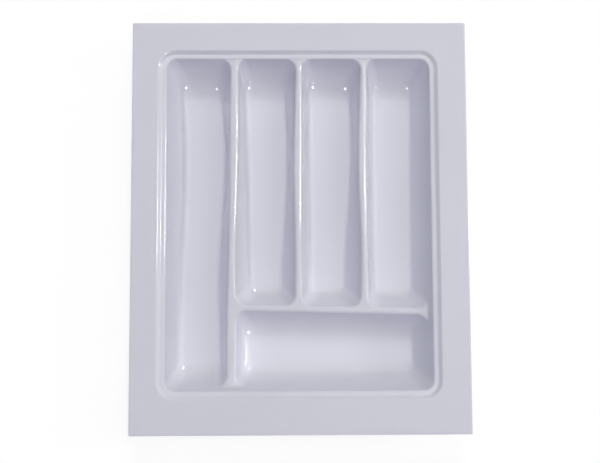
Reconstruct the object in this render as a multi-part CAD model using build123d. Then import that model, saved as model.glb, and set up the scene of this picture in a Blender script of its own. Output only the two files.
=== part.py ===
from build123d import *
from math import atan, cos, radians, sqrt, tan
import os

os.makedirs("parts", exist_ok=True)

# A cutlery tray, formed in one piece from a flat plastic sheet: a flat flange that is trimmed
# to fit a drawer, a shallow step and ledge, and five compartments with rounded hollow dividers.
# +X is to the right, +Y to the back of the drawer, +Z up, and the origin is under the middle.

# The whole tray, and the sheet that it is formed from
tray_width = 400.0
tray_depth = 490.0
tray_height = 50.0
sheet = 1.5

# The basin's rim at the ledge, measured from the middle of the flange
rim_left = -159.6
rim_right = 156.8
rim_back = 202.0
rim_front = -194.6
rim_corner = 12.0

# The step from the flange down to the ledge, which slopes at 45 degrees
step_drop = 4.0
ledge_width = 5.3
ledge_level = tray_height - step_drop

# The crests of the dividers are level with the ledge at the back and dip towards the front:
# where along the tray, and how high
crest_back = 45.6
crest_front = 34.6
crest_dip = [(200.0, 45.4), (150.0, 43.9), (92.0, 42.5), (20.0, 41.4), (-45.0, 38.9), (-100.0, 35.2)]
crest_level_again = -150.0

# Where along the tray the long dividers are slimmest and widest
waist_station = 100.0
belly_station = -45.0

# Bends: at the rim and the step, on the dividers' crests, and at the feet of the different walls.
# Walls that face right run into the floor more gently than those that face left.
edge_bend = 2.4
groove_bend = 1.2
crest_bend = 3.6
side_bend = 5.0
easy_bend = 10.0
scoop_bend = 35.0
cross_bend = 9.0
soft_bend = 21.0

# The lean of the end walls, as the distance from their rim to their foot
back_run = 16.2
front_run = 18.0

# A compartment's outer sides run on this far behind the basin's wall, which trims them
overrun = 0.6
floor_level = sheet

# Heights that walls are drawn through: their top lines, and levels clear of the sheet
divider_top = 40.0
half_way = 20.0
under_all = -3.0
over_crests = 48.0
above_all = 75.0

# How much wider than the tray the spaces above it are cut
clear_of_tray = 1.2

# Rises above the floor at which a compartment is drawn, close together where its foot is round
foot_rises = (0.0, 0.5, 1.6, 3.6, 7.0, 12.0, 18.0, 25.0, 32.0, 39.0)


class Wall:
    """A leaning wall: its line at the top and at the foot, and the bend at its foot.

    A side wall's lines hold four distances, at the back, the waist, the belly and the front.
    An end wall's lines hold one distance, and its slant is the rise along X, top and foot.
    """

    def __init__(self, top, foot, bend=0.0, level=divider_top, slant=(0.0, 0.0), beyond=0.0):
        self.top = top
        self.foot = foot
        self.bend = bend
        self.level = level
        self.slant = slant
        self.beyond = beyond
        self.lean = atan(abs(sum(foot) - sum(top)) / len(top) / (level - floor_level))

    def share(self, height):
        """0 at the foot and 1 at the top line, and straight on above it."""
        return (height - floor_level) / (self.level - floor_level)

    def line(self, height):
        """The wall's line at one height, before its foot is rounded."""
        return [f + (t - f) * self.share(height) for t, f in zip(self.top, self.foot)]

    def slope(self, height):
        """The rise of an end wall's line along X at one height."""
        top, foot = self.slant
        return foot + (top - foot) * self.share(height)

    def rounding(self, height, skin):
        """How far the round foot stands in from the straight wall at this height."""
        bend = self.bend + skin
        rise = max(height - (floor_level - skin), 0.0)
        tangent = bend * tan((radians(90) - self.lean) / 2)
        if not self.bend or rise >= tangent * cos(self.lean):
            return 0.0
        return tangent - sqrt(bend**2 - (bend - rise) ** 2) + rise * tan(self.lean)

    def inward(self, height, skin):
        """How far the wall's surface is in from its line, on the top or under the sheet."""
        return self.rounding(height, skin) - skin - self.beyond


def round_corner(point, before, after, radius):
    """An arc in place of a corner, between the directions before and after it."""
    set_back = radius * tan(radians(after.get_angle(before)) / 2)
    start = point - before * set_back
    end = point + after * set_back
    return TangentArc(start, end, tangent=before)


def side_line(distances, start, end, direction):
    """A side of an outline, which sways through the waist and the belly of the dividers."""
    low, high = sorted((start.Y, end.Y))
    stations = [(distances[1], waist_station), (distances[2], belly_station)]
    points = [Vector(x, y, start.Z) for x, y in stations if low < y < high]
    if direction.Y > 0:
        points.reverse()
    return Spline([start] + points + [end], tangents=[direction, direction])


def outline(walls, height, skin):
    """The outline of a compartment at one height: four sides and four round corners."""
    left, right, front, back = walls
    left_x = [x + left.inward(height, skin) for x in left.line(height)]
    right_x = [x - right.inward(height, skin) for x in right.line(height)]
    front_y = front.line(height)[0] + front.inward(height, skin)
    back_y = back.line(height)[0] - back.inward(height, skin)
    radius = rim_corner + overrun + skin - right.rounding(height, skin)

    def corner(x, y, slope, before, after):
        return round_corner(Vector(x, y + slope * x, height), before, after, radius)

    front_slope = front.slope(height)
    back_slope = back.slope(height)
    north, south = Vector(0, 1, 0), Vector(0, -1, 0)
    east = Vector(1, front_slope, 0).normalized()
    west = Vector(-1, -back_slope, 0).normalized()
    front_right = corner(right_x[-1], front_y, front_slope, east, north)
    back_right = corner(right_x[0], back_y, back_slope, north, west)
    back_left = corner(left_x[0], back_y, back_slope, west, south)
    front_left = corner(left_x[-1], front_y, front_slope, south, east)
    return make_face([
        Line(front_left @ 1, front_right @ 0),
        front_right,
        side_line(right_x, front_right @ 1, back_right @ 0, north),
        back_right,
        Line(back_right @ 1, back_left @ 0),
        back_left,
        side_line(left_x, back_left @ 1, front_left @ 0, south),
        front_left,
    ])


def compartment(walls, skin):
    """The space of one compartment, from its floor to above its rim."""
    heights = [floor_level - skin + rise for rise in foot_rises] + [over_crests]
    return loft([outline(walls, height, skin) for height in heights])


def space_over_crests(skin):
    """The space above the dividers, whose crests dip from the back to the front."""
    far = clear_of_tray * tray_depth / 2
    line = [(far, crest_back)] + crest_dip + [(crest_level_again, crest_front), (-far, crest_front)]
    start = -clear_of_tray * tray_width / 2
    points = [Vector(start, y, z - skin) for y, z in line]
    crest = Spline(points, tangents=[(0, -1, 0), (0, -1, 0)])
    frame = Polyline(crest @ 1, (start, -far, above_all), (start, far, above_all), crest @ 0)
    profile = make_face([crest] + frame.edges())
    return extrude(profile, amount=clear_of_tray * tray_width, dir=(1, 0, 0))


def space_in_compartments(skin):
    """Everything above the dividers and in the compartments, with the crests' edges round."""
    space = space_over_crests(skin) + [compartment(walls, skin) for walls in compartments]
    crests = [face for face in space.faces() if face.inner_wires()]
    edges = [edge for face in crests for wire in face.inner_wires() for edge in wire.edges()]
    return fillet(ShapeList(edges), crest_bend - skin)


def step_block(low, high, reach):
    """The space inside the step: a block with round corners, whose sides slope out by its height."""
    centre = ((rim_left + rim_right) / 2, (rim_front + rim_back) / 2)
    width = rim_right - rim_left + 2 * reach
    depth = rim_back - rim_front + 2 * reach
    corner = rim_corner + reach
    grow = high - low
    bottom = Pos(*centre, low) * RectangleRounded(width, depth, corner)
    top = Pos(*centre, high) * RectangleRounded(width + 2 * grow, depth + 2 * grow, corner + grow)
    return loft([bottom, top], ruled=True)


def pierced_face(solid, height):
    """The level face at one height that has an opening in it."""
    faces = [face for face in solid.faces() if face.inner_wires()]
    return [face for face in faces if abs(face.center().Z - height) < 0.01][0]


def space_in_basin(skin):
    """Everything above the flange, and inside the step and the basin's outer walls."""
    ledge = ledge_level - skin
    flange = tray_height - skin
    basin = loft([outline(basin_walls, height, skin) for height in (under_all, half_way, ledge)])
    step = step_block(ledge, flange, ledge_width + skin * tan(radians(45) / 2))
    room = (clear_of_tray * tray_width, clear_of_tray * tray_depth, above_all - flange)
    space = basin + step + Pos(0, 0, (flange + above_all) / 2) * Box(*room)
    step_edge = pierced_face(space, flange).inner_wires()[0].edges()
    space = fillet(step_edge, edge_bend - skin)
    step_foot = pierced_face(space, ledge).outer_wire().edges()
    space = fillet(step_foot, groove_bend + skin)
    rim = pierced_face(space, ledge).inner_wires()[0].edges()
    return fillet(rim, edge_bend - skin)


def space_above(skin):
    """The open space above the sheet's top, or above its underside where the skin is given."""
    return space_in_basin(skin) & space_in_compartments(skin)


# The basin's walls, from the ledge down to the floor: at the back, waist, belly and front
outer_left = dict(top=[rim_left] * 4, foot=[-143.9, -140.6, -144.9, -146.7], level=ledge_level)
outer_right = dict(top=[rim_right] * 4, foot=[137.9, 137.3, 136.9, 136.6], level=ledge_level)
outer_back = dict(top=[rim_back], foot=[rim_back - back_run], level=ledge_level)
outer_front = dict(top=[rim_front], foot=[rim_front + front_run], level=ledge_level)
basin_walls = [Wall(**wall) for wall in (outer_left, outer_right, outer_front, outer_back)]

# The same walls as the compartments' sides, with their round feet
round_left = Wall(bend=easy_bend, beyond=overrun, **outer_left)
round_right = Wall(bend=side_bend, beyond=overrun, **outer_right)
round_back = Wall(bend=scoop_bend, beyond=overrun, **outer_back)
round_front = Wall(bend=soft_bend, beyond=overrun, **outer_front)

# The faces of the three long dividers, on their left and right
first_left = Wall([-84.1, -84.3, -84.7, -85.6], [-95.5, -90.3, -98.2, -96.0], side_bend)
first_right = Wall([-73.3, -73.5, -78.3, -78.3], [-68.0, -65.6, -62.1, -62.1], easy_bend)
first_end = Wall([-77.5] * 4, [-68.5] * 4, easy_bend)
second_left = Wall([-5.4, -7.4, -4.4, -3.2], [-17.7, -13.8, -21.4, -21.0], side_bend)
second_right = Wall([3.5, 2.8, 1.2, 1.0], [10.5, 9.8, 12.1, 12.1], easy_bend)
third_left = Wall([72.6, 70.1, 74.6, 74.8], [62.5, 65.0, 55.3, 55.6], side_bend)
third_right = Wall([81.1, 80.0, 80.1, 79.8], [88.3, 87.4, 88.0, 88.0], easy_bend)

# The cross divider runs a little askew, more at its crest than at its feet
cross_slant = (-0.025, -0.010)
cross_behind = Wall([-97.4], [-80.9], cross_bend, slant=cross_slant)
cross_ahead = Wall([-99.2], [-118.5], soft_bend, slant=cross_slant)

# Each compartment's walls: left, right, front and back
compartments = [
    (round_left, first_left, round_front, round_back),
    (first_right, second_left, cross_behind, round_back),
    (second_right, third_left, cross_behind, round_back),
    (third_right, round_right, cross_behind, round_back),
    (first_end, round_right, round_front, cross_ahead),
]

# The sheet lies between the space above its underside and the space above its top
sheet_limits = Pos(0, 0, above_all / 2 - sheet) * Box(tray_width, tray_depth, above_all)
tray = (space_above(sheet) & sheet_limits) - space_above(0.0)
tray = tray.solids().sort_by(SortBy.VOLUME)[-1]
tray.label = "tray"
export_step(tray, "parts/tray.step")
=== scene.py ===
# %% [markdown]
# # A cutlery tray for a kitchen drawer
#
# The real tray is one sheet of glossy white plastic. It is heated until it is soft and sucked
# down over a mould, which gives it a shallow step, a ledge and five compartments with rounded,
# hollow dividers. Then its flat flange is trimmed square, to fit the drawer. This lesson makes
# its skin as one mesh, from a few curves and a height for every point, and gives it the
# plastic, the light and the camera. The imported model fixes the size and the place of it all.

# %% Load the fixed frame
import bmesh
import bpy
import numpy as np
from math import atan, cos, radians, tan
from mathutils import Matrix, Vector


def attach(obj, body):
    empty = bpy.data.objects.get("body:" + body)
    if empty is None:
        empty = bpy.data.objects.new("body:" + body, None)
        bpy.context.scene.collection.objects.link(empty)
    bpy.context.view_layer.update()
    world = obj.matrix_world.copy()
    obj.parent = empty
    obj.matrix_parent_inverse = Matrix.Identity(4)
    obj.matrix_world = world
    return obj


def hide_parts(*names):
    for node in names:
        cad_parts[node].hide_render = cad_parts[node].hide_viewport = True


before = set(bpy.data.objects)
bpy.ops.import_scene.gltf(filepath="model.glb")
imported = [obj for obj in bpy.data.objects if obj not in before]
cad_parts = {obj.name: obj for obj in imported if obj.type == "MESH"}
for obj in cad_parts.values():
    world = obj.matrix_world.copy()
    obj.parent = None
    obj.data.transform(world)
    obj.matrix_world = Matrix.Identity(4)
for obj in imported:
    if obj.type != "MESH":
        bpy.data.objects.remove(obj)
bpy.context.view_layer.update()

# %% [markdown]
# ## The measures of the mould
#
# A formed tray has few sizes: how deep it is, where the rim of its basin runs, how much the walls
# lean so that it comes off the mould, and how tightly each edge is rounded. They are in
# millimetres here, as a mould maker would note them, and turn into metres when the mesh is made.
# The ledge and the crests are given by their height above the drawer, on which the tray rests.

# %% The main sizes
MM = 0.001
WIDTH, DEPTH, FLANGE = 400.0, 490.0, 50.0
SHEET = 1.5
FLOOR = SHEET
LEDGE = 46.0
DIVIDER_TOP = 40.0
RIM_LEFT, RIM_RIGHT, RIM_BACK, RIM_FRONT = -159.6, 156.8, 202.0, -194.6
RIM_CORNER = 12.0
LEDGE_WIDTH = 5.3
EDGE_BEND, GROOVE_BEND = 2.4, 1.2
CREST_BEND = 3.6
SIDE_BEND, EASY_BEND = 5.0, 10.0
SCOOP_BEND, CROSS_BEND, SOFT_BEND = 35.0, 9.0, 21.0
OVERRUN = 0.6
print("the basin is", RIM_RIGHT - RIM_LEFT, "x", RIM_BACK - RIM_FRONT, "mm, in a sheet of", WIDTH, "x", DEPTH)

# %% [markdown]
# ## Lines that sway
#
# The long dividers aren't straight: they are slim at a waist and wider at a belly, so that a
# knife or fork lies with its handle in the narrow part. The crests of the dividers dip as well,
# from the back to the front. A spline through a few stations draws such a line. Its ends run
# level, so that neighbouring walls meet without a kink.

# %% A smooth line through a few stations
def smooth_line(stations, values):
    """A function that follows a cubic spline through the values, level at both ends."""
    x, v = np.array(stations, float), np.array(values, float)
    step = np.diff(x)
    rate = np.diff(v) / step
    inner = len(x) - 2
    matrix = np.zeros((inner, inner))
    target = np.zeros(inner)
    for i in range(inner):
        matrix[i, i] = 2 / step[i] + 2 / step[i + 1]
        if i:
            matrix[i, i - 1] = matrix[i - 1, i] = 1 / step[i]
        target[i] = 3 * (rate[i] / step[i] + rate[i + 1] / step[i + 1])
    slope = np.concatenate([[0.0], np.linalg.solve(matrix, target), [0.0]])

    def line(at):
        at = np.clip(at, x[0], x[-1])
        i = np.clip(np.searchsorted(x, at) - 1, 0, len(step) - 1)
        t = (at - x[i]) / step[i]
        return (v[i] * (1 + 2 * t) * (1 - t) ** 2 + slope[i] * step[i] * t * (1 - t) ** 2
                + v[i + 1] * t * t * (3 - 2 * t) - slope[i + 1] * step[i] * t * t * (1 - t))
    return line


crest = smooth_line([-294, -150, -100, -45, 20, 92, 150, 200, 294],
                    [34.6, 34.6, 35.2, 38.9, 41.4, 42.5, 43.9, 45.4, 45.6])
print("the crests are", [round(float(crest(y)), 1) for y in (-190, -98, 0, 100, 200)], "mm high")

# %% [markdown]
# ## Walls
#
# Every wall leans: its line at the floor stands further in than its line at the top. Its foot
# runs into the floor in a bend, which is wide at the back, where a finger scoops the cutlery out,
# easy on the sides that face right and tight on those that face left, as their shading shows. A
# small class keeps one wall, and tells where its surface is at any height.

# %% A leaning wall with a rounded foot
class Wall:
    """A wall's lines at its top and foot, as functions of the way along it, and its foot's bend.

    The top line is given at one level, and the values come in order from the back to the front.
    """
    stations = [-178.0, -45.0, 100.0, 184.0]

    def __init__(self, top, foot, bend, level=DIVIDER_TOP, slant=(0.0, 0.0)):
        self.top = smooth_line(self.stations, np.broadcast_to(top, 4)[::-1])
        self.foot = smooth_line(self.stations, np.broadcast_to(foot, 4)[::-1])
        self.bend, self.level, self.slant = bend, level, slant
        self.run = float(np.mean(np.abs(np.subtract(foot, top))))
        self.lean = atan(self.run / (level - FLOOR))

    def line(self, along, height, overrun=0.0):
        """Where the wall's surface is, across its direction, at one height."""
        share = (height - FLOOR) / (self.level - FLOOR)
        top = self.top(along) + self.slant[0] * along
        foot = self.foot(along) + self.slant[1] * along
        outward = np.sign(top - foot)
        beyond = overrun if self.level == LEDGE else 0.0
        return foot + (top - foot) * share - outward * (self.rounding(height) - beyond)

    def rounding(self, height):
        """How far the round foot stands in from the straight wall."""
        rise = np.maximum(height - FLOOR, 0.0)
        tangent = self.bend * tan((radians(90) - self.lean) / 2)
        low = np.minimum(rise, tangent * cos(self.lean))
        arc = tangent - np.sqrt(self.bend**2 - (self.bend - low) ** 2) + low * tan(self.lean)
        return np.where(rise < tangent * cos(self.lean), arc, 0.0)


# %% [markdown]
# The lines of the walls follow. Each side wall has four stations: the back, the waist, the belly
# and the front. An end wall runs straight, and the cross divider is a little askew, as on the
# real tray.

# %% All the walls
outer = dict(
    left=dict(top=[RIM_LEFT] * 4, foot=[-143.9, -140.6, -144.9, -146.7], bend=EASY_BEND),
    right=dict(top=[RIM_RIGHT] * 4, foot=[137.9, 137.3, 136.9, 136.6], bend=SIDE_BEND),
    back=dict(top=RIM_BACK, foot=185.8, bend=SCOOP_BEND),
    front=dict(top=RIM_FRONT, foot=-176.6, bend=SOFT_BEND),
)
basin = {side: Wall(level=LEDGE, **lines) for side, lines in outer.items()}

first_left = Wall([-84.1, -84.3, -84.7, -85.6], [-95.5, -90.3, -98.2, -96.0], SIDE_BEND)
first_right = Wall([-73.3, -73.5, -78.3, -78.3], [-68.0, -65.6, -62.1, -62.1], EASY_BEND)
first_end = Wall(-77.5, -68.5, EASY_BEND)
second_left = Wall([-5.4, -7.4, -4.4, -3.2], [-17.7, -13.8, -21.4, -21.0], SIDE_BEND)
second_right = Wall([3.5, 2.8, 1.2, 1.0], [10.5, 9.8, 12.1, 12.1], EASY_BEND)
third_left = Wall([72.6, 70.1, 74.6, 74.8], [62.5, 65.0, 55.3, 55.6], SIDE_BEND)
third_right = Wall([81.1, 80.0, 80.1, 79.8], [88.3, 87.4, 88.0, 88.0], EASY_BEND)
askew = (-0.025, -0.010)
cross_behind = Wall(-97.4, -80.9, CROSS_BEND, slant=askew)
cross_ahead = Wall(-99.2, -118.5, SOFT_BEND, slant=askew)

# left, right, front, back
basin_walls = (basin["left"], basin["right"], basin["front"], basin["back"])
compartments = {
    "long": (basin["left"], first_left, basin["front"], basin["back"]),
    "first short": (first_right, second_left, cross_behind, basin["back"]),
    "second short": (second_right, third_left, cross_behind, basin["back"]),
    "third short": (third_right, basin["right"], cross_behind, basin["back"]),
    "wide": (first_end, basin["right"], basin["front"], cross_ahead),
}
print(len(compartments), "compartments; the long one's left wall leans", round(basin["left"].lean, 2), "rad")

# %% [markdown]
# ## A height for every point
#
# The top of the tray is a height field: nothing overhangs, or it wouldn't come off the mould. The
# height at a point of a compartment is the level whose outline passes through it, an outline
# with four sides and four round corners. There is no formula for that level, but outlines only
# grow as they rise, so halving the interval a few dozen times finds it for all points at once.

# %% The height of a compartment's surface
def outside(x, y, height, walls, overrun):
    """How far a point is outside the rounded outline at one height; negative inside."""
    left, right, front, back = walls
    radius = RIM_CORNER + overrun - right.rounding(height)
    across = np.maximum(left.line(y, height, overrun) - x, x - right.line(y, height, overrun))
    along = np.maximum(front.line(x, height, overrun) - y, y - back.line(x, height, overrun))
    u, v = across + radius, along + radius
    round_corner = np.hypot(np.maximum(u, 0), np.maximum(v, 0)) - radius
    return np.where((u > 0) & (v > 0), round_corner, np.maximum(across, along))


def well_height(x, y, walls, overrun=OVERRUN, highest=75.0, halvings=26):
    """The height of the compartment's surface, which goes on rising past its rim."""
    low, high = np.full(x.shape, FLOOR), np.full(x.shape, highest)
    for _ in range(halvings):
        middle = (low + high) / 2
        is_out = outside(x, y, middle, walls, overrun) > 0
        low, high = np.where(is_out, middle, low), np.where(is_out, high, middle)
    return (low + high) / 2


# %% [markdown]
# Sheet that is drawn over an edge bends round it. Where a wall comes up through a crest, the edge
# is rounded with an arc, which is worked out from how far a point is past the sharp edge. Where
# a crest ends against the outer wall, the hollow between them is filled a little.

# %% Round an edge, fill a hollow
PROBE = 4.0


def edge_of(x, y, top, walls, overrun):
    """How far a point is past the sharp edge at the height of the top, and the wall's lean there."""
    past = outside(x, y, top, walls, overrun)
    return past, np.arctan((outside(x, y, top - PROBE, walls, overrun) - past) / PROBE)


def round_edge(top, wall, past, lean, bend=EDGE_BEND):
    """A flat top and the wall that rises to it, with an arc where they meet."""
    tangent = bend * np.tan((radians(90) - lean) / 2)
    low = -tangent * np.sin(lean)
    arc = top - bend + np.sqrt(np.maximum(bend**2 - (tangent - np.clip(past, low, tangent)) ** 2, 0.0))
    return np.where(past > tangent, top, np.where(past < low, wall, arc))


def fill_hollow(a, b, width):
    """The higher of two heights, blended over the width where they are nearly equal."""
    near = np.maximum(width - np.abs(a - b), 0.0)
    return np.maximum(a, b) + near**2 / (4 * width)


print("a hollow of two level surfaces fills by", float(fill_hollow(0.0, 0.0, 1.0)), "of its width")

# %% [markdown]
# Outside the basin come a narrow ledge, a small groove, a step that slopes at 45 degrees and the
# flange. They follow the rim at an even distance, so their height depends on that distance alone.

# %% The step from the ledge up to the flange
HALF_45 = tan(radians(45) / 2)


def from_rim(x, y):
    """How far a point is outside the basin's rounded rim."""
    across = np.maximum(RIM_LEFT - x, x - RIM_RIGHT) + RIM_CORNER
    along = np.maximum(RIM_FRONT - y, y - RIM_BACK) + RIM_CORNER
    round_corner = np.hypot(np.maximum(across, 0), np.maximum(along, 0))
    return np.where((across > 0) & (along > 0), round_corner, np.maximum(across, along)) - RIM_CORNER


def step_rise(away):
    """How far the surface is above the ledge, at a distance from the rim."""
    foot = away - LEDGE_WIDTH
    reach = GROOVE_BEND * HALF_45
    t = np.clip(foot + reach, 0.0, reach * (1 + cos(radians(45))))
    groove = GROOVE_BEND - np.sqrt(GROOVE_BEND**2 - t**2)
    rise = np.where(foot < reach * cos(radians(45)), groove, foot)
    return round_edge(FLANGE - LEDGE, rise, foot - (FLANGE - LEDGE), radians(45))


print("the step ends", round(LEDGE_WIDTH + FLANGE - LEDGE, 1), "mm outside the rim")

# %% [markdown]
# Now the pieces of surface join. Next to a compartment the crest is rounded down into it, and the
# lowest of the five wells counts. The outer wall rises through all of them, and the hollow
# along it is filled more where the sheet bridges it high up, and hardly at all near the floor.

# %% The whole top surface
FILL, FILL_FROM, FILL_OVER, LEAST_FILL = 1.4, 3.0, 8.0, 0.01


def surface(x, y):
    """The height of the sheet's top at every point, in millimetres."""
    top = crest(y)
    wells = np.full(x.shape, np.inf)
    for walls in compartments.values():
        edge = edge_of(x, y, top, walls, OVERRUN)
        wells = np.minimum(wells, round_edge(top, well_height(x, y, walls), *edge, CREST_BEND))
    wall = well_height(x, y, basin_walls, overrun=0.0)
    above_floor = np.maximum(wells, wall) - FLOOR
    fill = FILL * np.clip((above_floor - FILL_FROM) / FILL_OVER, LEAST_FILL, 1.0)
    edge = edge_of(x, y, LEDGE, basin_walls, 0.0)
    inside = round_edge(LEDGE, fill_hollow(wells, wall, fill), *edge)
    return inside + step_rise(from_rim(x, y))


middle = surface(np.array([35.0]), np.array([-148.0]))
print("the floor of the wide compartment is", middle.round(2), "mm high")

# %% [markdown]
# ## Where the mesh lines run
#
# A plain grid would cut across the round corners and leave steps on the steep walls. So the mesh
# is laid out as a modeller would draw it by hand: rings run round each compartment, close
# together where the sheet bends, and the dividers' middle lines are shared by both neighbours.
# First come those shared lines, then stations along them: dense next to the corners, where
# the rings turn, and even in between.

# %% The middle lines of the dividers, and the line where the crests meet the outer wall
def middle_of(one, other):
    """The line half-way between two walls, at the height of the crest."""
    return lambda y: (one.line(y, crest(y)) + other.line(y, crest(y))) / 2


first, second, third = (middle_of(a, b) for a, b in (
    (first_left, first_right), (second_left, second_right), (third_left, third_right)))
CROSS_CREST, NEAR_CROSS = 35.2, -98.0


def cross(x):
    return (cross_behind.line(x, CROSS_CREST) + cross_ahead.line(x, CROSS_CREST)) / 2


def crest_side(wall):
    return lambda y: wall.line(y, crest(y))


def crest_end(wall, y):
    height = float(crest(y))
    return lambda x: wall.line(x, height)


NEAR_FRONT, NEAR_BACK = -190.0, 200.0
shore = (crest_side(basin["left"]), crest_side(basin["right"]),
         crest_end(basin["front"], NEAR_FRONT), crest_end(basin["back"], NEAR_BACK))
print("the first divider's middle is at", round(float(first(0.0)), 1), "mm")

# %% [markdown]
# Stations are the places along a line where a mesh line leaves it. Each corner has a zone of
# close stations on both sides, because a ring turns there on an arc, and the long stretches
# between them share out a number of even steps.

# %% Stations along the sides
ZONE, IN_ZONE = 12.0, 7
ROWS, COLUMNS = (16, 54), (12, 10, 10, 10)


def stations(corners, counts):
    """Stations from the first corner to the last, dense on both sides of every corner."""
    dense = np.linspace(0, ZONE, IN_ZONE + 1)
    line = [np.array([corners[0]])]
    for start, end, count in zip(corners, corners[1:], counts):
        even = np.linspace(start + ZONE, end - ZONE, count + 1)
        line += [start + dense[1:-1], even, end - dense[:-1][::-1]]
    return np.concatenate(line)


def meeting(line, other, guess):
    """Where a line x(y) meets a line y(x)."""
    y = guess
    for _ in range(6):
        x = float(line(y))
        y = float(other(x))
    return x, y


left, right, front, back = shore
corner_lines = [left, first, second, third, right]
at_cross = [meeting(line, cross, NEAR_CROSS) for line in corner_lines]
at_back = [meeting(line, back, NEAR_BACK) for line in corner_lines]
at_front = [meeting(line, front, NEAR_FRONT) for line in (left, first)]
at_front += [at_cross[2], at_cross[3], meeting(right, front, NEAR_FRONT)]


def rows(i, parts):
    """Stations up one of the five long lines, in front of the cross divider, behind it or both."""
    corners = [at_front[0][1], at_cross[i][1], at_back[i][1]]
    low, high = parts
    return stations(corners[low:high + 1], ROWS[low:high])


def columns(points, low, high):
    """Stations along one of the three cross lines, between two of the long lines."""
    return stations([x for x, y in points[low:high + 1]], COLUMNS[low:high])


print(len(rows(0, (0, 2))), "stations up the left side,", len(columns(at_back, 0, 4)), "across the back")

# %% [markdown]
# A ring is drawn side by side. Near a corner, the stations of the straight outline slide onto an
# arc, up to its middle at 45 degrees, where the next side takes over. A radius of nothing keeps
# the corner sharp, as where a divider's middle line meets the outer wall.

# %% One ring round a compartment
ROUNDING_ERROR = 1e-9


def spread(along, low, high, radii):
    """Where the stations of a side stand on a ring, and how far in from the side's own line."""
    from_low, from_high = along - along[0], along[-1] - along
    reach = [radius or ZONE for radius in radii]
    share = (from_low - ZONE) / (along[-1] - along[0] - 2 * ZONE)
    place = low + reach[0] + share * (high - low - reach[0] - reach[1])
    inward = np.zeros(len(along))
    ends = ((from_low, low, radii[0], 1), (from_high, high, radii[1], -1))
    for distance, corner, radius, way in ends:
        zone = distance < ZONE - ROUNDING_ERROR
        angle = radians(45) * (1 - distance / ZONE)
        turned = radius * (1 - np.sin(angle)) if radius else distance
        place = np.where(zone, corner + way * turned, place)
        inward = np.where(zone, radius * (1 - np.cos(angle)), inward)
    return place, inward


def ring(sides, marks, radii):
    """A closed loop of points, from the front left corner round by the back to the front.

    The sides are lines, the marks their stations, and the radii belong to the corners at the
    front left, front right, back left and back right.
    """
    left, right, front, back = sides
    corners = [meeting(a, b, g) for a, b, g in (
        (left, front, marks[0][0]), (right, front, marks[1][0]),
        (left, back, marks[0][-1]), (right, back, marks[1][-1]))]
    (xa, ya), (xb, yb), (xc, yc), (xd, yd) = corners
    y, inward = spread(marks[0], ya, yc, (radii[0], radii[2]))
    up = np.stack([left(y) + inward, y], 1)
    y, inward = spread(marks[1], yb, yd, (radii[1], radii[3]))
    down = np.stack([right(y) - inward, y], 1)[::-1]
    x, inward = spread(marks[2], xa, xb, (radii[0], radii[1]))
    home = np.stack([x, front(x) + inward], 1)[::-1]
    x, inward = spread(marks[3], xc, xd, (radii[2], radii[3]))
    away = np.stack([x, back(x) - inward], 1)
    return np.concatenate([up, away[1:-1], down, home[1:-1]])


print("near a corner a station moves in by up to", round(RIM_CORNER * (1 - cos(radians(45))), 2), "mm")

# %% [markdown]
# ## The rings of a compartment
#
# From the floor up, the rings follow the outline at chosen heights: many in the bend at the foot,
# few on the straight wall, and many again in the round edge of the crest. On the outer wall
# they stop at the level of the crest, where the wall's own rings take over. The floor inside
# the last ring is stretched between its four sides.

# %% Rings from the crest down to the floor, and the floor itself
RISES = [0.0, 0.12, 0.5, 1.2, 2.3, 4.0, 6.5, 10.0]
UP_THE_WALL = [0.35, 0.68, 1.0]
WALL_TOP = 3.6
UNDER_EDGE = [2.4, 1.0]
PAST_EDGE = [0.1, 0.8, 1.6, 2.5]
OUTER_TOP = [0.2, 0.4, 0.55, 0.7, 0.82, 0.92]


def levels(wall, is_outer):
    """For one wall, each ring's height as a function of the crest's, and its distance past the edge; the wall
    itself is not used.
    """
    low = FLOOR + RISES[-1]
    rings = [(lambda top, r=r: FLOOR + r + 0 * top, 0.0) for r in RISES]
    rings += [(lambda top, q=q: low + q * (top - WALL_TOP - low), 0.0) for q in UP_THE_WALL]
    if is_outer:
        return rings + [(lambda top, q=q: top - WALL_TOP * (1 - q), 0.0) for q in OUTER_TOP]
    rings += [(lambda top, u=u: top - u, 0.0) for u in UNDER_EDGE]
    return rings + [(lambda top: top, past) for past in PAST_EDGE]


def quads_between(inner, outer):
    """Faces between two closed rows of points, given by their numbers."""
    return np.stack([inner, outer, np.roll(outer, -1), np.roll(inner, -1)], 1)


def floor_grid(loop, rows, cols):
    """Points inside a loop, stretched between its four sides, row by row."""
    up, away = loop[:rows], loop[rows - 1:rows + cols - 1]
    down = loop[rows + cols - 2:2 * rows + cols - 2][::-1]
    home = np.concatenate([loop[2 * rows + cols - 3:], loop[:1]])[::-1]
    s = np.linspace(0, 1, cols)[None, :, None]
    t = np.linspace(0, 1, rows)[:, None, None]
    between_sides = up[:, None] * (1 - s) + down[:, None] * s + home[None] * (1 - t) + away[None] * t
    from_corners = (home[0] * (1 - s) * (1 - t) + home[-1] * s * (1 - t)
                    + away[0] * (1 - s) * t + away[-1] * s * t)
    return between_sides - from_corners


print("ready for", len(RISES) + len(UP_THE_WALL) + len(OUTER_TOP), "rings a compartment")

# %% [markdown]
# Each compartment's rings end on the lines that it shares: the middles of the dividers, and the
# line where the crests meet the outer wall. So neighbours have the same points there, and the
# mesh can be joined afterwards. The order of a compartment's sides is left, right, front, back.

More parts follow.
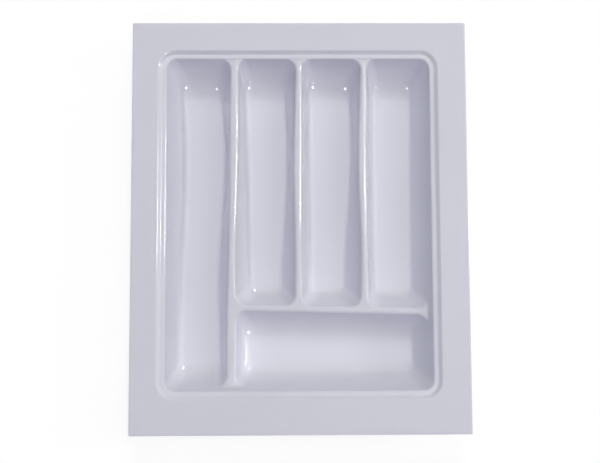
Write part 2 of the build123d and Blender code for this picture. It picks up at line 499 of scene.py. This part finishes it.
# %% The rings of every compartment
def compartment_points(sides, marks, is_outer, corners):
    """All the rings, from the floor up to the shared lines."""
    rings = []
    heights = [levels(wall, flag) for wall, flag in zip(sides, is_outer)]
    ends = [float(crest(v)) for v in (marks[0][0], marks[0][-1])]
    for level in zip(*heights):
        (left_at, left_past), (right_at, right_past), (front_at, front_past), (back_at, back_past) = level
        lines = (lambda y: sides[0].line(y, left_at(crest(y))) - left_past,
                 lambda y: sides[1].line(y, right_at(crest(y))) + right_past,
                 lambda x: sides[2].line(x, front_at(ends[0])) - front_past,
                 lambda x: sides[3].line(x, back_at(ends[1])) + back_past)
        radius = RIM_CORNER + OVERRUN - float(sides[1].rounding(right_at(ends[0])))
        rings.append(ring(lines, marks, [radius] * 4))
    rings.append(ring(*corners))
    return rings


def marks_of(left, right, parts, front, back, low, high):
    """The stations of a compartment's four sides."""
    ends = (columns(front, low, high), columns(back, low, high))
    return (rows(left, parts), rows(right, parts), *ends)


layout = {
    # name: stations, which walls are outer ones, the shared lines and the radii of their corners
    "long": (marks_of(0, 1, (0, 2), at_front, at_back, 0, 1), (1, 0, 1, 1),
             (shore[0], first, shore[2], shore[3]), (RIM_CORNER, 0, RIM_CORNER, 0)),
    "first short": (marks_of(1, 2, (1, 2), at_cross, at_back, 1, 2), (0, 0, 0, 1),
                    (first, second, cross, shore[3]), (0, 0, 0, 0)),
    "second short": (marks_of(2, 3, (1, 2), at_cross, at_back, 2, 3), (0, 0, 0, 1),
                     (second, third, cross, shore[3]), (0, 0, 0, 0)),
    "third short": (marks_of(3, 4, (1, 2), at_cross, at_back, 3, 4), (0, 1, 0, 1),
                    (third, shore[1], cross, shore[3]), (0, 0, 0, RIM_CORNER)),
    "wide": (marks_of(1, 4, (0, 1), at_front, at_cross, 1, 4), (0, 1, 1, 0),
             (first, shore[1], shore[2], cross), (0, RIM_CORNER, 0, 0)),
}
points, faces = [], []
count = 0


def add_rings(rings, count):
    """Adds rows of points one round the other, and returns the new number of points."""
    size = len(rings[0])
    for k, row in enumerate(rings):
        points.append(row)
        if k:
            inner = count + (k - 1) * size + np.arange(size)
            faces.append(quads_between(inner, inner + size))
    return count + len(rings) * size


for name, (marks, is_outer, sides, radii) in layout.items():
    rings = compartment_points(compartments[name], marks, is_outer, (sides, marks, radii))
    size_y, size_x = len(marks[0]), len(marks[2])
    count = add_rings(rings, count)
    grid = floor_grid(rings[0], size_y, size_x)
    numbers = count + np.arange(size_y * size_x).reshape(size_y, size_x)
    points.append(grid.reshape(-1, 2))
    count += size_y * size_x
    around = [numbers[:-1, :-1], numbers[:-1, 1:], numbers[1:, 1:], numbers[1:, :-1]]
    faces.append(np.stack(around, -1).reshape(-1, 4))
    print(name, "has", len(rings), "rings of", len(rings[0]), "points")

# %% [markdown]
# ## The rings outside the basin
#
# From the level of the crests, rings climb the outer wall, bend over the rim, cross the ledge
# and the step, and spread over the flange to its trimmed edge. They are listed by their distance
# from the rim, and stand close together at each bend: the rim, the groove and the step's top.

# %% Rings from the outer wall to the edge of the flange
CLIMB = [0.15, 0.3, 0.45, 0.58, 0.68, 0.76, 0.84, 0.92, 1.0]
ASIDE = [3.3, 4.55, 4.82, 5.06, 5.3, 5.62, 7.2, 8.5, 8.85, 9.3, 9.75, 10.3, 12.5, 17.0]
OVER_FLANGE = [0.2, 0.45, 0.72, 0.9]
TRIM = 0.3
PAST_RIM = 1.72

marks = (stations([at_front[0][1], at_cross[0][1], at_back[0][1]], ROWS),
         stations([at_front[-1][1], at_cross[-1][1], at_back[-1][1]], ROWS),
         columns(at_front, 0, 4), columns(at_back, 0, 4))


def box_ring(left, right, front, back, radius):
    """A rectangle with round corners."""
    lines = [lambda at, side=side: side + 0 * at for side in (left, right, front, back)]
    return ring(lines, marks, [radius] * 4)


def rim_ring(away):
    """The rim's outline, so far outside it."""
    sides = (RIM_LEFT - away, RIM_RIGHT + away, RIM_FRONT - away, RIM_BACK + away)
    return box_ring(*sides, RIM_CORNER + away)


shore_ring = ring(shore, marks, [RIM_CORNER] * 4)
past_rim = rim_ring(PAST_RIM)
rings = [shore_ring] + [shore_ring * (1 - q) + past_rim * q for q in CLIMB]
rings += [rim_ring(away) for away in ASIDE]
inner = rings[-1]
trim = box_ring(TRIM - WIDTH / 2, WIDTH / 2 - TRIM, TRIM - DEPTH / 2, DEPTH / 2 - TRIM, 0)
edge = box_ring(-WIDTH / 2, WIDTH / 2, -DEPTH / 2, DEPTH / 2, 0)
rings += [inner * (1 - q) + trim * q for q in OVER_FLANGE] + [trim, edge]
count = add_rings(rings, count)
xy, quads = np.concatenate(points), np.concatenate(faces)
print(len(xy), "points,", len(quads), "faces on top")

# %% [markdown]
# ## The top of the skin
#
# The points are still flat, so each one gets its height from the surface. The last ring drops a
# little, as the saw leaves the trimmed edge. Then the points that two compartments share are
# merged, so that the dividers are one smooth skin, and all faces are turned up.

# %% Give every point its height
EDGE_DROP = 0.15
z = surface(xy[:, 0], xy[:, 1])
z[-len(edge):] -= EDGE_DROP
top = np.column_stack([xy, z])
print("heights from", round(z.min(), 2), "to", round(z.max(), 2), "mm")

# %% Join the rings where they meet
SAME_POINT = 4e-6
skin = bmesh.new()
for point in top:
    skin.verts.new(point * MM)
skin.verts.ensure_lookup_table()
for quad in quads:
    skin.faces.new([skin.verts[i] for i in quad])
bmesh.ops.remove_doubles(skin, verts=skin.verts, dist=SAME_POINT)
bmesh.ops.recalc_face_normals(skin, faces=skin.faces)
if sum(face.normal.z * face.calc_area() for face in skin.faces) < 0:
    bmesh.ops.reverse_faces(skin, faces=skin.faces)
steepest = min(face.normal.z for face in skin.faces)
print(len(skin.verts), "points and", len(skin.faces), "faces; the steepest faces up by", round(steepest, 2))

# %% [markdown]
# ## The underside
#
# The same sheet seen from below: every point moves in against its normal by the thickness. The
# sheet is thickest where it never stretched, on the flange, and thins on the steep walls that
# were drawn furthest. On the floors it keeps its full thickness here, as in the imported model,
# so that the tray rests at the same height.

# %% Give the sheet its thickness
AT_EDGE = 0.5
THINNEST = 0.55
skin.normal_update()
above = list(skin.verts)
below = []
for vert in above:
    on_edge = (abs(vert.co.x) > (WIDTH / 2 - AT_EDGE) * MM
               or abs(vert.co.y) > (DEPTH / 2 - AT_EDGE) * MM)
    normal = Vector((0, 0, 1)) if on_edge else vert.normal
    thickness = SHEET * MM * (THINNEST + (1 - THINNEST) * normal.z)
    below.append(skin.verts.new(vert.co - normal * thickness))
under = dict(zip(above, below))
open_edges = [edge for edge in skin.edges if len(edge.link_faces) == 1]
rim = [(loop.vert, loop.link_loop_next.vert) for edge in open_edges for loop in edge.link_loops]
for face in list(skin.faces):
    skin.faces.new([under[vert] for vert in reversed(face.verts)])
for start, end in rim:
    skin.faces.new([end, start, under[start], under[end]])
for start, end in rim:
    for pair in ((start, end), (under[start], under[end])):
        skin.edges.get(pair).smooth = False
for face in skin.faces:
    face.smooth = True
mesh = bpy.data.meshes.new("tray_skin")
skin.to_mesh(mesh)
skin.free()
tray = bpy.data.objects.new("tray_skin", mesh)
bpy.context.scene.collection.objects.link(tray)
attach(tray, "root")
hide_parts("tray")
print("the skin has", len(mesh.polygons), "faces, or", 2 * len(mesh.polygons), "triangles")

# %% [markdown]
# ## The camera
#
# The tray is seen from nearly straight above. A flat, parallel view would show no walls at all
# in the middle, but a real lens has some perspective, and the walls open away from it. A 60 mm
# lens 1.2 m over the drawer, tilted by about 5 degrees, shows them as wide as they look.

# %% Camera
camera_data = bpy.data.cameras.new("camera")
camera_data.lens = 60.0
camera_data.sensor_width = 36.0
camera = bpy.data.objects.new("camera", camera_data)
bpy.context.scene.collection.objects.link(camera)
TILT, ROLL, SPIN = radians(5.34), radians(-0.73), radians(-0.18)
turn = Matrix.Rotation(TILT, 4, "X") @ Matrix.Rotation(ROLL, 4, "Y") @ Matrix.Rotation(SPIN, 4, "Z")
camera.matrix_world = Matrix.Translation((-0.0151, -0.1174, 1.2269)) @ turn
bpy.context.scene.camera = camera
print("the camera hangs", round(camera.matrix_world.translation.z, 2), "m up")

# %% [markdown]
# ## The room
#
# The tray lies on a white surface. Seen by the camera, or mirrored in the plastic, the world and
# the surface are white, while the light that falls on the tray from all round is faint and a
# little blue. The surface is a pale one that also takes the tray's soft shadow.

# %% World and floor
scene = bpy.context.scene
scene.view_settings.view_transform = "Standard"


def node(tree, kind, **values):
    """A new node with its input values set."""
    new = tree.nodes.new("ShaderNode" + kind)
    for name, value in values.items():
        new.inputs[name.replace("_", " ")].default_value = value
    return new


def seen_directly(tree):
    """1 where a ray comes from the camera, off a mirror or through glass, and 0 elsewhere."""
    path = node(tree, "LightPath")
    total = path.outputs["Is Camera Ray"]
    for ray in ("Is Glossy Ray", "Is Transmission Ray"):
        either = node(tree, "Math")
        either.operation = "MAXIMUM"
        tree.links.new(total, either.inputs[0])
        tree.links.new(path.outputs[ray], either.inputs[1])
        total = either.outputs[0]
    return total


def blend(tree, factor, one, other):
    """The first colour where the factor is 0, and the second where it is 1."""
    mix = tree.nodes.new("ShaderNodeMix")
    mix.data_type = "RGBA"
    mix.inputs["A"].default_value = (*one, 1)
    mix.inputs["B"].default_value = (*other, 1)
    tree.links.new(factor, mix.inputs["Factor"])
    return mix.outputs["Result"]


world = bpy.data.worlds.new("world")
scene.world = world
world.use_nodes = True
tree = world.node_tree
colour = blend(tree, seen_directly(tree), (0.032, 0.041, 0.09), (1, 1, 1))
tree.links.new(colour, tree.nodes["Background"].inputs["Color"])

white_paper = bpy.data.materials.new("white_paper")
white_paper.use_nodes = True
tree = white_paper.node_tree
shader = tree.nodes["Principled BSDF"]
seen = seen_directly(tree)
tree.links.new(blend(tree, seen, (0.85, 0.85, 0.85), (0.2, 0.2, 0.2)), shader.inputs["Base Color"])
tree.links.new(blend(tree, seen, (0, 0, 0), (0.86, 0.86, 0.86)), shader.inputs["Emission Color"])
shader.inputs["Emission Strength"].default_value = 1.0
shader.inputs["Specular IOR Level"].default_value = 0.0

FAR = 3
floor_mesh = bpy.data.meshes.new("floor")
floor_mesh.from_pydata([(-FAR, -FAR, 0), (FAR, -FAR, 0), (FAR, FAR, 0), (-FAR, FAR, 0)], [], [(0, 1, 2, 3)])
floor_mesh.materials.append(white_paper)
floor = bpy.data.objects.new("floor", floor_mesh)
scene.collection.objects.link(floor)
print("the floor is", floor.dimensions.x, "m wide")

# %% [markdown]
# ## Lamps
#
# Soft lamps on the right, in front and behind model the walls: the sides that face right are
# bright and those that face left are dim. These lamps don't show in the gloss, where they would
# draw hard bands on the round feet of the walls. What the plastic mirrors is a row of windows, low
# on both sides, which draw the thin streaks on the crests, and small panes at the four corners of
# the room, which give each compartment's corners a point of light. The windows and panes light
# nothing else, so that the plastic keeps its even tone. One large lamp, the high side, does both.

# %% Lamps
lamps = {
    # name: place, width, height in metres, power in watts, colour, lights the plastic, is mirrored
    "soft right": ((0.95, 0.15, 3.7), 1.0, 1.0, 15.0, (1.0, 0.98, 0.75), True, False),
    "right": ((1.75, 0.2, 3.6), 1.2, 1.8, 9.0, (1.0, 0.97, 0.85), True, False),
    "low side": ((3.5, 0.35, 1.9), 0.9, 0.44, 24.0, (1.0, 0.98, 0.95), True, False),
    "left side": ((-3.5, 0.41, 1.9), 0.60, 0.44, 5.0, (1.0, 1.0, 1.0), True, False),
    "front": ((-0.1, -2.1, 3.2), 1.2, 1.0, 32.0, (0.93, 0.92, 1.0), True, False),
    "back": ((0.1, 2.5, 2.8), 1.4, 1.0, 46.0, (1.0, 0.99, 0.95), True, False),
    "high side": ((2.8, 0.35, 2.8), 2.4, 2.4, 20.0, (1.0, 0.98, 0.96), True, True),
    "window": ((3.5, 0.41, 1.9), 0.46, 0.44, 78.0, (1.0, 1.0, 1.0), False, True),
    "far window": ((3.5, 0.80, 1.9), 0.14, 0.44, 22.0, (1.0, 1.0, 1.0), False, True),
    "near window": ((3.5, -0.29, 1.9), 0.10, 0.44, 5.0, (1.0, 1.0, 1.0), False, True),
    "left window": ((-3.5, 0.41, 1.9), 0.60, 0.44, 14.0, (1.0, 1.0, 1.0), False, True),
    "front pane": ((0.9, -3.4, 1.9), 0.14, 0.44, 16.0, (1.0, 1.0, 1.0), False, True),
    "front right pane": ((1.75, -2.05, 3.0), 0.20, 0.20, 75.0, (1.0, 1.0, 1.0), False, True),
    "front left pane": ((-1.75, -2.05, 3.0), 0.20, 0.20, 32.0, (1.0, 1.0, 1.0), False, True),
    "back right pane": ((1.75, 2.05, 3.0), 0.20, 0.20, 45.0, (1.0, 1.0, 1.0), False, True),
    "back left pane": ((-1.75, 2.05, 3.0), 0.20, 0.20, 16.0, (1.0, 1.0, 1.0), False, True),
}
for name, (place, width, height, power, colour, lights, mirrored) in lamps.items():
    data = bpy.data.lights.new(name, "AREA")
    data.shape = "RECTANGLE"
    data.size, data.size_y = width, height
    data.energy = power
    data.color = colour
    lamp = bpy.data.objects.new(name, data)
    lamp.visible_diffuse, lamp.visible_glossy = lights, mirrored
    facing = Vector(place).to_track_quat("Z", "Y").to_matrix().to_4x4()
    lamp.matrix_world = Matrix.Translation(place) @ facing
    scene.collection.objects.link(lamp)
print(len(lamps), "lamps")

# %% [markdown]
# ## The plastic
#
# The sheet is polystyrene, white with a touch of lavender, and glossy on top. The real sheet has
# nothing painted or printed on it. Up close its gloss isn't even: the skin has a fine orange peel
# from the heating, long shallow waves, faint smears from wiping, and it is rubbed a little on the
# edges that hands and cutlery touch. There its colour is also a little paler: a painted highlight.

# %% Plastic
plastic = bpy.data.materials.new("tray_plastic")
plastic.use_nodes = True
tree = plastic.node_tree
shader = tree.nodes["Principled BSDF"]
place = node(tree, "TexCoord").outputs["Object"]


def clouds(scale, detail=2.0, stretch=(1, 1, 1)):
    """A soft random pattern over the object, with so many clouds to the metre."""
    mapping = node(tree, "Mapping", Scale=stretch)
    tree.links.new(place, mapping.inputs["Vector"])
    noise = node(tree, "TexNoise", Scale=scale, Detail=detail)
    tree.links.new(mapping.outputs["Vector"], noise.inputs["Vector"])
    return noise.outputs["Fac"]


def ramp(value, low, high, to_low, to_high):
    """A value mapped from one range to another, and held at the ends."""
    mapped = node(tree, "MapRange", From_Min=low, From_Max=high, To_Min=to_low, To_Max=to_high)
    tree.links.new(value, mapped.inputs["Value"])
    return mapped.outputs["Result"]


def add(one, other):
    """The sum of two values."""
    total = node(tree, "Math")
    tree.links.new(one, total.inputs[0])
    tree.links.new(other, total.inputs[1])
    return total.outputs[0]


# colour: a faint unevenness, and a painted highlight that makes the convex edges a little paler
plain = blend(tree, ramp(clouds(9.0), 0.3, 0.7, 0.0, 1.0), (0.742, 0.742, 0.818), (0.756, 0.756, 0.832))
# the convex edges, found by their pointiness: the paler colour there is painted highlight, the duller gloss
# is wear
edge_highlight_and_wear = ramp(node(tree, "NewGeometry").outputs["Pointiness"], 0.53, 0.60, 0.0, 0.5)
painted_edge_highlight = tree.nodes.new("ShaderNodeMix")
painted_edge_highlight.data_type = "RGBA"
painted_edge_highlight.inputs["B"].default_value = (0.82, 0.82, 0.86, 1)
tree.links.new(plain, painted_edge_highlight.inputs["A"])
tree.links.new(edge_highlight_and_wear, painted_edge_highlight.inputs["Factor"])
tree.links.new(painted_edge_highlight.outputs["Result"], shader.inputs["Base Color"])

# gloss: glossy, with smears, and duller where it is rubbed
smears = ramp(clouds(14.0, 4.0, (1, 0.35, 1)), 0.35, 0.75, 0.08, 0.13)
tree.links.new(add(smears, ramp(edge_highlight_and_wear, 0.0, 0.5, 0.0, 0.06)), shader.inputs["Roughness"])
shader.inputs["IOR"].default_value = 1.55

# relief: fine orange peel over long shallow waves
peel = node(tree, "Bump", Strength=0.25, Distance=0.00002)
tree.links.new(clouds(420.0, 1.0), peel.inputs["Height"])
waves = node(tree, "Bump", Strength=0.5, Distance=0.0006)
tree.links.new(clouds(12.0, 0.0), waves.inputs["Height"])
tree.links.new(peel.outputs["Normal"], waves.inputs["Normal"])
tree.links.new(waves.outputs["Normal"], shader.inputs["Normal"])
tray.data.materials.append(plastic)
print("the plastic has", len(tree.nodes), "nodes")
